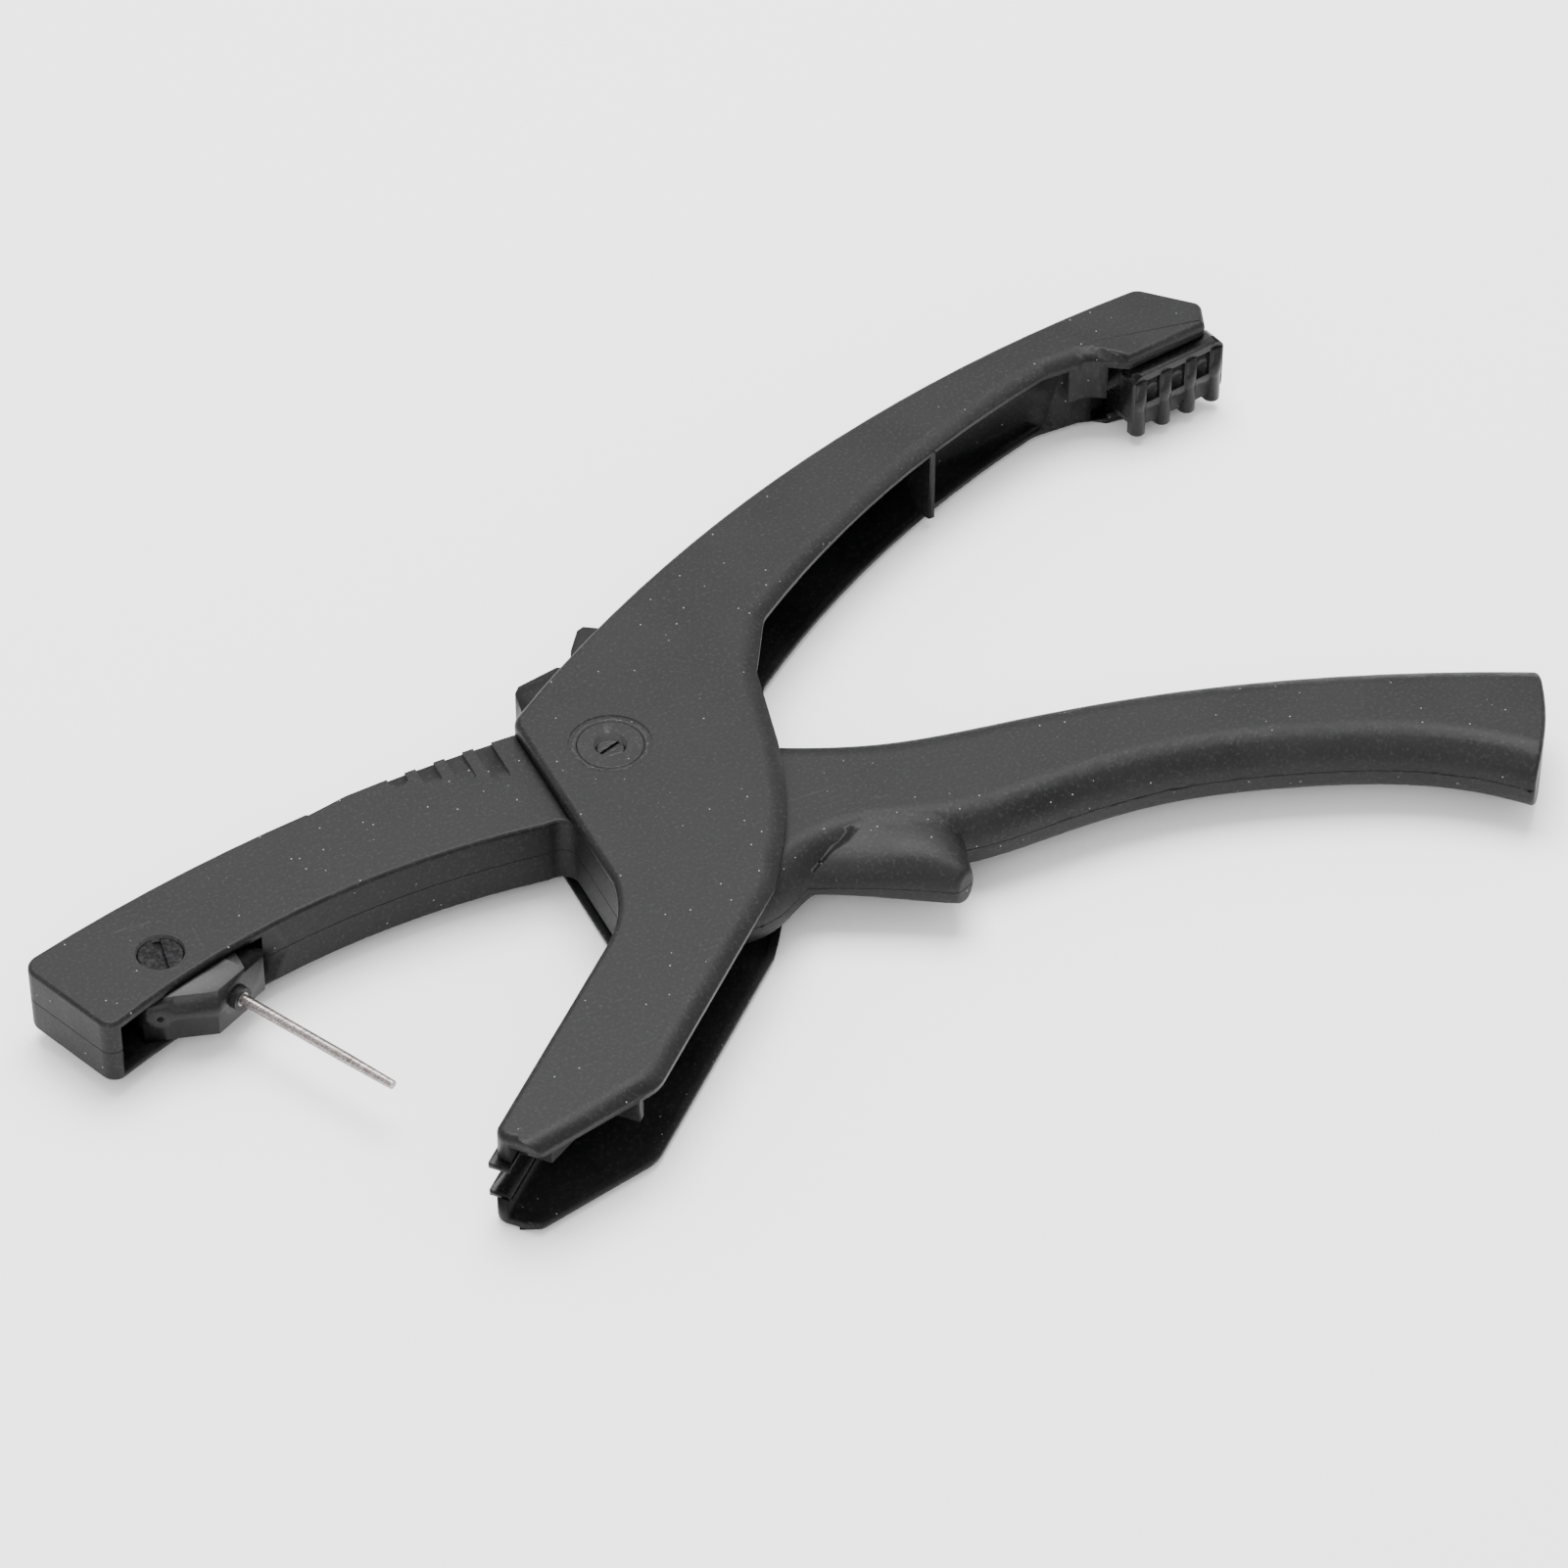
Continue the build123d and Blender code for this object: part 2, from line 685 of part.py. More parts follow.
grip_ring = (*grip_upper[1:], *grip_lower[:7])
grip_count = len(grip_ring)
inner_ring = [
    inset_corner(grip_ring[i - 1], grip_ring[i], grip_ring[(i + 1) % grip_count], -grip_wall)
    for i in range(grip_count)
]
bump_root = (37.0, -30.0)
bump_angle = -69.0
bump_sections = ((0.0, 19.0, 6.3), (9.0, 10.4, 6.0), (15.4, 5.0, 5.0), (19.4, 2.0, 3.4))
bump_end_round = 1.4
bump_axis_start = (*bump_root, mid_height)
bump_axis_way = (*polar_point(1.0, bump_angle), 0)
with BuildPart() as lever_blank:
    # Grip with rounded edges
    with BuildSketch(Plane.XY.offset(lever_low)):
        add(lever_grip_plan.sketch)
    extrude(amount=lever_high - lever_low)
    long_edges = [
        edge
        for edge in lever_blank.edges().group_by(Axis.Z)[0] + lever_blank.edges().group_by(Axis.Z)[-1]
        if edge.geom_type == GeomType.BSPLINE
    ]
    fillet(long_edges, grip_round)

    # Jaw and hub, flat above and below
    with BuildSketch(Plane.XY.offset(lever_low)):
        add(lever_jaw_plan.sketch)
    extrude(amount=lever_high - lever_low)
    # Finger bump under the grip
    with BuildPart(mode=Mode.PRIVATE) as finger_bump:
        for along, half_width, half_height in bump_sections:
            section_plane = Plane(
                origin=(*polar_point(along, bump_angle, bump_root), mid_height),
                x_dir=(*polar_point(1.0, bump_angle + 90.0), 0),
                z_dir=(*polar_point(1.0, bump_angle), 0),
            )
            with BuildSketch(section_plane):
                Ellipse(half_width, half_height)
        loft()
        fillet(finger_bump.faces().sort_by(Axis(bump_axis_start, bump_axis_way))[-1].edges(), bump_end_round)
    add(finger_bump.part)

    # Hollow grip, and hollow jaw between the hub and the carrier
    with BuildSketch(Plane.XY.offset(lever_low + lever_wall)) as grip_hollow:
        with BuildLine():
            Spline(*inner_ring[: len(grip_upper) - 1])
            Line(inner_ring[len(grip_upper) - 2], inner_ring[len(grip_upper) - 1])
            Spline(*inner_ring[len(grip_upper) - 1 :])
            Line(inner_ring[-1], inner_ring[0])
        make_face()
        with Locations((0, 0)):
            Rectangle(2 * grip_hollow_start, 200.0, mode=Mode.SUBTRACT)
        with Locations(*shell_screw_places):
            Circle(shell_boss_radius, mode=Mode.SUBTRACT)
    extrude(amount=lever_high - lever_low - 2 * lever_wall, mode=Mode.SUBTRACT)
    with BuildSketch(Plane.XY.offset(lever_low + lever_wall)) as jaw_hollow:
        add(lever_jaw_plan.sketch)
        offset(amount=-grip_wall)
        with Locations((jaw_hollow_start - 100.0, 0), (jaw_hollow_end + 100.0, 0)):
            Rectangle(200.0, 200.0, mode=Mode.SUBTRACT)
        with Locations(*shell_screw_places):
            Circle(shell_boss_radius, mode=Mode.SUBTRACT)
    extrude(amount=lever_high - lever_low - 2 * lever_wall, mode=Mode.SUBTRACT)
    # Hub: bore of the bush, room for the coil, and the room that each leg needs as the lever turns
    with BuildSketch(Plane.XY.offset(lever_low)):
        Circle(bush_outer)
    extrude(amount=lever_high - lever_low, mode=Mode.SUBTRACT)
    with BuildSketch(Plane.XY.offset(coil_low - wire)):
        Circle(coil_room)
    extrude(amount=coil_high - coil_low + 2 * wire, mode=Mode.SUBTRACT)
    with BuildSketch(Plane.XY.offset(coil_high - leg_room)):
        Polygon((0, 0), *anchor_window, align=None)
    extrude(amount=2 * leg_room, mode=Mode.SUBTRACT)
    with BuildSketch(Plane.XY.offset(coil_low - leg_room)):
        Polygon((0, 0), *lever_leg_window, align=None)
    extrude(amount=2 * leg_room, mode=Mode.SUBTRACT)
    # Opening for the pin carrier in the front of the jaw
    with BuildSketch(Plane.XY.offset(mid_height - cavity_half)):
        Polygon(*[shifted(carrier_axis, x, y) for x, y in carrier_room], align=None)
    extrude(amount=2 * cavity_half, mode=Mode.SUBTRACT)
    # Screw eyes on both sides of the carrier's hub
    for base in (mid_height - cavity_half, mid_height + carrier_hub_half):
        with BuildSketch(Plane.XY.offset(base)):
            with Locations(carrier_axis):
                Circle(carrier_boss_radius)
        extrude(amount=cavity_half - carrier_hub_half)
    with BuildSketch(Plane.XY.offset(lever_low)):
        with Locations(carrier_axis):
            Circle(jaw_shank_radius + 0.1)
    extrude(amount=lever_high - lever_low, mode=Mode.SUBTRACT)
    with BuildSketch(Plane.XY.offset(jaw_head_base)):
        with Locations(carrier_axis):
            Circle(jaw_head_radius + 0.15)
    extrude(amount=lever_high - jaw_head_base, mode=Mode.SUBTRACT)
    with BuildSketch(Plane.XY.offset(lever_low)):
        with Locations(carrier_axis):
            Circle(insert_radius)
    extrude(amount=insert_height + 0.2, mode=Mode.SUBTRACT)
    # Thumb flutes in the top of the jaw beside the hub
    for index in range(flute_count):
        flute_x = flute_start - index * flute_pitch
        flute_end = jaw_back_y - flute_length + index * flute_shortening
        with BuildSketch(Plane.XY.offset(lever_high - flute_depth)):
            with BuildLine():
                Polyline(
                    (flute_x - flute_radius, 20.0),
                    (flute_x - flute_radius, flute_end),
                    (flute_x + flute_radius, flute_end),
                    (flute_x + flute_radius, 20.0),
                    close=True,
                )
            make_face()
            with Locations((flute_x, flute_end)):
                Circle(flute_radius)
        extrude(amount=2 * flute_depth, mode=Mode.SUBTRACT)

    # Shell screws: clearance and head recess from below, pilot above the parting plane
    for radius, base, depth in (
        (shell_screw_radius + 0.2, lever_low, mid_height - lever_low),
        (shell_head_radius + 0.15, lever_low, shell_head_height + 0.2),
        (shell_screw_radius, mid_height, shell_screw_depth),
    ):
        with BuildSketch(Plane.XY.offset(base)):
            with Locations(*shell_screw_places):
                Circle(radius)
        extrude(amount=depth, mode=Mode.SUBTRACT)

for name, kept in (("lever_lower_shell", Keep.BOTTOM), ("lever_upper_shell", Keep.TOP)):
    with BuildPart() as lever_shell:
        add(lever_blank.part)
        split(bisect_by=Plane.XY.offset(mid_height), keep=kept)
    lever_shell.part.label = name
    export_step(lever_shell.part, f"parts/{name}.step")

with BuildPart() as lever_bush:
    with BuildSketch(Plane.XY.offset(lever_low)):
        Circle(bush_outer)
        Circle(post_radius + running_fit, mode=Mode.SUBTRACT)
    extrude(amount=lever_high - lever_low)

lever_bush.part.label = "lever_bush"
export_step(lever_bush.part, "parts/lever_bush.step")

with BuildPart() as shell_screws:
    for place in shell_screw_places:
        with BuildSketch(Plane.XY.offset(lever_low + 0.2)):
            with Locations(place):
                Circle(shell_head_radius)
        extrude(amount=shell_head_height)
        with BuildSketch(Plane.XY.offset(lever_low + 0.2)):
            with Locations(place):
                Circle(shell_screw_radius)
        extrude(amount=shell_screw_length)
        with BuildSketch(Plane.XY.offset(lever_low + 0.2)):
            with Locations(place):
                Rectangle(2 * shell_head_radius - 1.6, screw_slot)
                Rectangle(screw_slot, 2 * shell_head_radius - 1.6)
        extrude(amount=0.9, mode=Mode.SUBTRACT)

shell_screws.part.label = "shell_screws"
export_step(shell_screws.part, "parts/shell_screws.step")

# ------------------------------------------------------------------ jaw screw, its insert, sleeve and spring
with BuildPart() as jaw_screw:
    with BuildSketch(Plane.XY.offset(lever_low + 0.1)):
        with Locations(carrier_axis):
            Circle(jaw_shank_radius)
    extrude(amount=jaw_head_base - lever_low - 0.1)
    with BuildSketch(Plane.XY.offset(jaw_head_base)):
        with Locations(carrier_axis):
            Circle(jaw_head_radius)
    extrude(amount=jaw_head_height)
    fillet(jaw_screw.edges().group_by(Axis.Z)[-1], 0.35)
    with BuildSketch(Plane.XY.offset(jaw_head_base + jaw_head_height)):
        with Locations(carrier_axis):
            Rectangle(4 * jaw_head_radius, jaw_slot, rotation=jaw_slot_turn)
    extrude(amount=-jaw_slot_depth, mode=Mode.SUBTRACT)

jaw_screw.part.label = "jaw_screw"
export_step(jaw_screw.part, "parts/jaw_screw.step")

with BuildPart() as jaw_screw_insert:
    with BuildSketch(Plane.XY.offset(lever_low + 0.2)):
        with Locations(carrier_axis):
            Circle(insert_radius)
            Circle(jaw_shank_radius, mode=Mode.SUBTRACT)
    extrude(amount=insert_height)

jaw_screw_insert.part.label = "jaw_screw_insert"
export_step(jaw_screw_insert.part, "parts/jaw_screw_insert.step")

with BuildPart() as carrier_bush:
    with BuildSketch(Plane.XY.offset(mid_height - carrier_hub_half)):
        with Locations(carrier_axis):
            Circle(carrier_bush_outer)
            Circle(jaw_shank_radius, mode=Mode.SUBTRACT)
    extrude(amount=2 * carrier_hub_half)

carrier_bush.part.label = "carrier_bush"
export_step(carrier_bush.part, "parts/carrier_bush.step")

with BuildPart() as carrier_spring:
    with BuildSketch(Plane.XY.offset(mid_height - leaf_width / 2)):
        Polygon(*[shifted(carrier_axis, x, y) for x, y in leaf_corners], align=None)
    extrude(amount=leaf_width)

carrier_spring.part.label = "carrier_spring"
export_step(carrier_spring.part, "parts/carrier_spring.step")

# ------------------------------------------------------------------ pin carrier, pin and collar
pin_direction = polar_point(1.0, pin_angle)
pin_start = shifted(carrier_axis, 6.05, -1.1)


def pin_plane(along):
    """Plane across the pin at a distance from its inner end."""
    return Plane(origin=(*polar_point(along, pin_angle, pin_start), mid_height), z_dir=(*pin_direction, 0))


with BuildPart() as pin_carrier:
    with BuildSketch(Plane.XY.offset(mid_height - carrier_height / 2)) as carrier_plan:
        Polygon(*[shifted(carrier_axis, x, y) for x, y in carrier_corners], align=None)
    extrude(amount=carrier_height)
    # Lower hook at the inner end
    for base in (mid_height - carrier_height / 2, mid_height + carrier_hook_height / 2):
        with BuildSketch(Plane.XY.offset(base)):
            with Locations(shifted(carrier_axis, carrier_hook_start + 10.0, 0.0)):
                Rectangle(20.0, 40.0)
        extrude(amount=(carrier_height - carrier_hook_height) / 2, mode=Mode.SUBTRACT)
    # Hub bore, and a recess on each side for the screw eyes
    with BuildSketch(Plane.XY.offset(mid_height - carrier_height / 2)):
        with Locations(carrier_axis):
            Circle(carrier_bush_outer + running_fit)
    extrude(amount=carrier_height, mode=Mode.SUBTRACT)
    for base in (mid_height - carrier_height / 2, mid_height + carrier_hub_half - 0.1):
        with BuildSketch(Plane.XY.offset(base)):
            with Locations(carrier_axis):
                Circle(carrier_boss_radius + 0.3)
        extrude(amount=carrier_height / 2 - carrier_hub_half + 0.1, mode=Mode.SUBTRACT)
    # Pin seat, collar seat and the small hole in the front face
    with BuildSketch(pin_plane(0.0)):
        Circle(pin_shank_radius)
    extrude(amount=pin_length, mode=Mode.SUBTRACT)
    with BuildSketch(pin_plane(collar_start)):
        Circle(collar_radius)
    extrude(amount=collar_length, mode=Mode.SUBTRACT)
    with BuildSketch(Plane(origin=(*shifted(carrier_axis, -3.6, -12.0), mid_height), z_dir=(0, 1, 0))):
        Circle(0.6)
    extrude(amount=6.0, mode=Mode.SUBTRACT)

pin_carrier.part.label = "pin_carrier"
export_step(pin_carrier.part, "parts/pin_carrier.step")

with BuildPart() as applicator_pin:
    with BuildSketch(pin_plane(0.0)):
        Circle(pin_shank_radius)
    extrude(amount=collar_start + collar_length)
    with BuildSketch(pin_plane(collar_start + collar_length)):
        Circle(pin_radius)
    extrude(amount=pin_straight - collar_start - collar_length)
    with BuildSketch(pin_plane(pin_straight)):
        Circle(pin_radius)
    with BuildSketch(pin_plane(pin_length)):
        Circle(pin_tip_radius)
    loft()

applicator_pin.part.label = "applicator_pin"
export_step(applicator_pin.part, "parts/applicator_pin.step")

with BuildPart() as pin_collar:
    with BuildSketch(pin_plane(collar_start)):
        Circle(collar_radius)
        Circle(pin_shank_radius, mode=Mode.SUBTRACT)
    extrude(amount=collar_length)

pin_collar.part.label = "pin_collar"
export_step(pin_collar.part, "parts/pin_collar.step")

# ------------------------------------------------------------------ thumb slide
latch_base = mid_height - latch_height / 2
rib_root = 0.9
with BuildPart() as handle_latch:
    # Plate with rounded corners, and the tongue behind it
    with BuildSketch(Plane.XY.offset(latch_base)):
        Polygon(*box_corners(0.0, latch_length, -latch_face, latch_under), align=None)
    extrude(amount=latch_height)
    across_axis = Axis(grip_point(0.0, 0.0), polar_point(1.0, grip_angle + 90.0))
    fillet(handle_latch.edges().filter_by(across_axis), latch_corner)
    with BuildSketch(Plane.XY.offset(latch_base)):
        Polygon(
            *box_corners(tongue_start, latch_tongue_length, -latch_face / 2, latch_tongue_depth),
            align=None,
        )
    extrude(amount=latch_height)
    # Finger pockets between the ribs
    for index in range(latch_ribs - 1):
        pocket_along = latch_rib_radius + (index + 0.5) * latch_rib_pitch
        with BuildSketch(Plane.XY.offset(latch_base + latch_ledge)):
            with Locations(grip_point(pocket_along, -latch_face - rib_root)):
                Circle(latch_pocket_radius)
        extrude(amount=latch_height - latch_ledge - latch_brow, mode=Mode.SUBTRACT)
    # Rails that run in the grooves of the plates
    with BuildSketch(Plane.XY.offset(plate - latch_rail + latch_clearance)):
        Polygon(
            *box_corners(tongue_start, latch_tongue_length, rail_inner, rail_inner + latch_rail_width),
            align=None,
        )
    extrude(amount=channel_top - plate + 2 * latch_rail - 2 * latch_clearance)
    # Upright ribs that hang below the plate
    for index in range(latch_ribs):
        rib_along = latch_rib_radius + index * latch_rib_pitch
        rib_end = rib_along + latch_rib_radius
        rib_front = -latch_face + latch_rib_inset
        with BuildSketch(Plane.XY.offset(latch_base - latch_rib_drop)):
            with Locations(grip_point(rib_along, rib_front)):
                Circle(latch_rib_radius)
            Polygon(
                *box_corners(rib_along - latch_rib_radius, rib_end, rib_front, rib_front + rib_root),
                align=None,
            )
        extrude(amount=latch_height + latch_rib_drop - latch_brow)

handle_latch.part.label = "handle_latch"
export_step(handle_latch.part, "parts/handle_latch.step")

with BuildPart() as latch_leaf_spring:
    with BuildSketch(Plane.XY.offset(mid_height - leaf_width / 2)):
        Polygon(
            *box_corners(pocket_start + 0.2, pocket_end - 0.2, leaf_front, leaf_front + latch_leaf),
            align=None,
        )
    extrude(amount=leaf_width)

latch_leaf_spring.part.label = "latch_leaf_spring"
export_step(latch_leaf_spring.part, "parts/latch_leaf_spring.step")
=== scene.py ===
from math import cos, pi, radians, sin
import bmesh
import bpy
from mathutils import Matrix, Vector


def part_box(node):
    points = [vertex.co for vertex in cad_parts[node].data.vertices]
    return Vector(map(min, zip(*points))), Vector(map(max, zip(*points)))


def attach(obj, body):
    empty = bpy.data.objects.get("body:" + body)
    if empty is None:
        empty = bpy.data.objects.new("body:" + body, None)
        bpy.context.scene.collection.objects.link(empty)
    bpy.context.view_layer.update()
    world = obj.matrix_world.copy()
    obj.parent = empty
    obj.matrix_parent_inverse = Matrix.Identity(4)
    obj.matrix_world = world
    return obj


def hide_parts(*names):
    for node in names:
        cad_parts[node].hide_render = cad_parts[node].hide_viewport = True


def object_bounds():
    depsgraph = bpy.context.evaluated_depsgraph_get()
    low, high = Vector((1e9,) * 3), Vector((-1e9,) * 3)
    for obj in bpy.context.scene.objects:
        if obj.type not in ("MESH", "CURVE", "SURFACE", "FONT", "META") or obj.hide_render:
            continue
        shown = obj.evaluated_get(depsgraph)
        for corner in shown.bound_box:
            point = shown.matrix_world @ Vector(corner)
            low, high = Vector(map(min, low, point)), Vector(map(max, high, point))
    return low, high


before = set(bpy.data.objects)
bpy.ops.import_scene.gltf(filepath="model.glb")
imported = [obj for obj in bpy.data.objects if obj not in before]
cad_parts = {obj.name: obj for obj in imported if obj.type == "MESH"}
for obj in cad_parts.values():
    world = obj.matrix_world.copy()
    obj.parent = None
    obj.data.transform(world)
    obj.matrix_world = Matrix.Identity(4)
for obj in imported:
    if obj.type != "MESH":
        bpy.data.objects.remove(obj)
cad_low, cad_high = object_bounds()

# ---------------------------------------------------------------- anvil arm
# The fixed half: one glass-filled nylon moulding, open towards the hand, with a
# finely sparked black skin, rounded outer edges and ribs inside its channel.
MM = 0.001
PARTING = 10.0 * MM
LEVEL_SLACK = 0.02 * MM
CLEAR = 1.5 * MM
SAME_POINT = 2e-6
FLAT_TURN = radians(0.1)
RIM_TURN = radians(60.0)


def linked(tree, kind, **inputs):
    """New shader node with its inputs set: a tuple or number is a value, a socket is a link."""
    node = tree.nodes.new("ShaderNode" + kind)
    for name, value in inputs.items():
        socket = node.inputs[name.replace("_", " ")] if isinstance(name, str) else node.inputs[name]
        if isinstance(value, bpy.types.NodeSocket):
            tree.links.new(value, socket)
        else:
            socket.default_value = value
    return node


def arithmetic(tree, operation, first, second):
    """Math node on two sockets or numbers."""
    node = tree.nodes.new("ShaderNodeMath")
    node.operation = operation
    for socket, value in zip(node.inputs, (first, second)):
        if isinstance(value, bpy.types.NodeSocket):
            tree.links.new(value, socket)
        else:
            socket.default_value = value
    return node.outputs[0]


def ramp(tree, factor, low, high, low_value, high_value):
    """Smooth change from one value to another as a factor goes from low to high."""
    node = tree.nodes.new("ShaderNodeMapRange")
    node.interpolation_type = "SMOOTHSTEP"
    for name, value in zip(("From Min", "From Max", "To Min", "To Max"), (low, high, low_value, high_value)):
        node.inputs[name].default_value = value
    tree.links.new(factor, node.inputs["Value"])
    return node.outputs["Result"]


def blended(tree, factor, first, second):
    """Colour mix of two colours by a factor."""
    node = tree.nodes.new("ShaderNodeMix")
    node.data_type = "RGBA"
    tree.links.new(factor, node.inputs["Factor"])
    for name, value in (("A", first), ("B", second)):
        socket = next(s for s in node.inputs if s.name == name and s.type == "RGBA")
        if isinstance(value, bpy.types.NodeSocket):
            tree.links.new(value, socket)
        else:
            socket.default_value = (*value, 1.0)
    return next(s for s in node.outputs if s.type == "RGBA")


def new_material(name):
    """Empty material with its shader: returns the material, its tree, its shader and object coordinates."""
    material = bpy.data.materials.new(name)
    material.use_nodes = True
    tree = material.node_tree
    shader = next(node for node in tree.nodes if node.type == "BSDF_PRINCIPLED")
    where = tree.nodes.new("ShaderNodeTexCoord").outputs["Object"]
    return material, tree, shader, where


def moulded_plastic(name, dark, pale, roughness, grain_depth, specks):
    """Black moulded plastic: sparked grain, cloudy patches, handling scuffs and light dust specks."""
    material, tree, shader, where = new_material(name)
    clouds = linked(tree, "TexNoise", Vector=where, Scale=55.0, Detail=4.0, Roughness=0.6)
    grain = linked(tree, "TexNoise", Vector=where, Scale=1500.0, Detail=4.0, Roughness=0.75)
    tone = blended(tree, ramp(tree, clouds.outputs["Fac"], 0.3, 0.7, 0.0, 1.0), dark, pale)
    tone = blended(tree, ramp(tree, grain.outputs["Fac"], 0.5, 0.72, 0.0, 0.7), tone, [3.5 * c for c in pale])
    # Scuffs: a noise stretched along the tool, shown where a second noise allows it
    stretched = linked(tree, "Mapping", Vector=where, Scale=(60.0, 900.0, 300.0), Rotation=(0.0, 0.0, -0.5))
    strokes = linked(tree, "TexNoise", Vector=stretched.outputs[0], Scale=1.0, Detail=4.0, Distortion=0.8)
    places = linked(tree, "TexNoise", Vector=where, Scale=28.0, Detail=2.0)
    scuff = arithmetic(
        tree,
        "MULTIPLY",
        ramp(tree, strokes.outputs["Fac"], 0.66, 0.74, 0.0, 1.0),
        ramp(tree, places.outputs["Fac"], 0.55, 0.7, 0.0, 1.0),
    )
    tone = blended(tree, arithmetic(tree, "MULTIPLY", scuff, 0.22), tone, (0.06, 0.06, 0.06))
    # Specks: small round cores of a few cells
    cells = linked(tree, "TexVoronoi", Vector=where, Scale=700.0)
    chosen = linked(tree, "SeparateColor", Color=cells.outputs["Color"])
    speck = arithmetic(
        tree,
        "MULTIPLY",
        ramp(tree, cells.outputs["Distance"], 0.06, 0.12, 1.0, 0.0),
        ramp(tree, chosen.outputs[0], 1.0 - specks, 1.001 - specks, 0.0, 1.0),
    )
    tone = blended(tree, speck, tone, (0.22, 0.22, 0.21))
    tree.links.new(tone, shader.inputs["Base Color"])
    sheen = ramp(tree, clouds.outputs["Fac"], 0.25, 0.75, roughness - 0.06, roughness + 0.06)
    tree.links.new(sheen, shader.inputs["Roughness"])
    shader.inputs["Specular IOR Level"].default_value = 0.18
    bump = linked(tree, "Bump", Height=grain.outputs["Fac"], Strength=grain_depth, Distance=0.00012)
    tree.links.new(bump.outputs["Normal"], shader.inputs["Normal"])
    return material


def rounded_copy(node, name, rim=0.0, levels=(), clear_of=(), beyond=None, seam=0.0, segments=4):
    """Plain copy of a CAD piece with its outer rims rounded and its flat faces kept flat.

    Rims lie at one of the levels, or beyond a place along the tool, and clear of some boxes. A seam, at the
    parting level, is broken narrowly. Edges that turn less than a rim does are left as they are.
    """
    shape = bmesh.new()
    shape.from_mesh(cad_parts[node].data)
    bmesh.ops.remove_doubles(shape, verts=shape.verts, dist=SAME_POINT)
    bmesh.ops.dissolve_limit(shape, angle_limit=FLAT_TURN, verts=shape.verts, edges=shape.edges)
    weights = shape.edges.layers.float.new("bevel_weight_edge")
    for edge in shape.edges:
        if not rim or len(edge.link_faces) != 2 or not edge.is_convex:
            continue
        if edge.calc_face_angle(0.0) < RIM_TURN:
            continue
        ends = [vertex.co for vertex in edge.verts]
        middle = (ends[0] + ends[1]) / 2
        if any(
            low.x - CLEAR < middle.x < high.x + CLEAR and low.y - CLEAR < middle.y < high.y + CLEAR
            for low, high in clear_of
        ):
            continue
        on_seam = all(abs(end.z - PARTING) < LEVEL_SLACK for end in ends)
        on_level = any(all(abs(end.z - level) < LEVEL_SLACK for end in ends) for level in levels)
        at_end = beyond is not None and min(end.x for end in ends) > beyond and not on_seam
        if on_seam:
            edge[weights] = seam / rim
        elif on_level or at_end:
            edge[weights] = 1.0
    mesh = bpy.data.meshes.new(name)
    shape.to_mesh(mesh)
    shape.free()
    mesh.shade_smooth()
    piece = bpy.data.objects.new(name, mesh)
    bpy.context.collection.objects.link(piece)
    bevel = piece.modifiers.new("edge rounding", "BEVEL")
    bevel.width = rim
    bevel.segments = segments
    bevel.limit_method = "WEIGHT"
    bevel.use_clamp_overlap = False
    bevel.loop_slide = False
    weighted = piece.modifiers.new("flat faces", "WEIGHTED_NORMAL")
    weighted.mode = "FACE_AREA_WITH_ANGLE"
    weighted.weight = 80
    bpy.context.view_layer.update()
    seen = piece.evaluated_get(bpy.context.evaluated_depsgraph_get())
    piece.data = bpy.data.meshes.new_from_object(seen)
    piece.modifiers.clear()
    return piece


def finished(piece, material, body, slot, *nodes):
    """Give a piece its material and its body, and hide the CAD nodes that it stands for. The slot is not used.
    """
    piece.data.materials.clear()
    piece.data.materials.append(material)
    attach(piece, body)
    if nodes:
        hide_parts(*nodes)


def painted(node, material):
    """Give a CAD node, whose shape is shown as it is, its material."""
    for index in range(max(1, len(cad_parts[node].material_slots))):
        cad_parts[node].material_slots[index].material = material


NYLON_DARK = (0.0030, 0.0030, 0.0032)
NYLON_PALE = (0.0068, 0.0068, 0.0070)
YOKE_RIM = 1.3 * MM
black_nylon = moulded_plastic("black_nylon", NYLON_DARK, NYLON_PALE, 0.5, 0.45, 0.14)
yoke = rounded_copy("anvil_arm_body", "yoke_moulding", YOKE_RIM, (0.0, cad_high[2]), (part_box("pivot_post"),))
finished(yoke, black_nylon, "anvil_arm", "black_nylon", "anvil_arm_body")

# ---------------------------------------------------------------- anvil fork
# A harder, glossier insert pressed into the tip of the jaw. The pin and its tag
# pass between its two lips.
glossy_black = moulded_plastic("glossy_black", (0.004, 0.004, 0.004), (0.007, 0.007, 0.007), 0.3, 0.12, 0.04)
fork = rounded_copy("anvil_fork", "fork_insert")
finished(fork, glossy_black, "anvil_arm", "glossy_black", "anvil_fork")

# ---------------------------------------------------------------- pivot
# A glass-filled post stands through both plates, closed by a cap that is spun in
# flush, with a slotted steel screw down its middle.
fine_nylon = moulded_plastic("black_nylon_fine", (0.004, 0.004, 0.004), (0.008, 0.008, 0.008), 0.46, 0.2, 0.06)


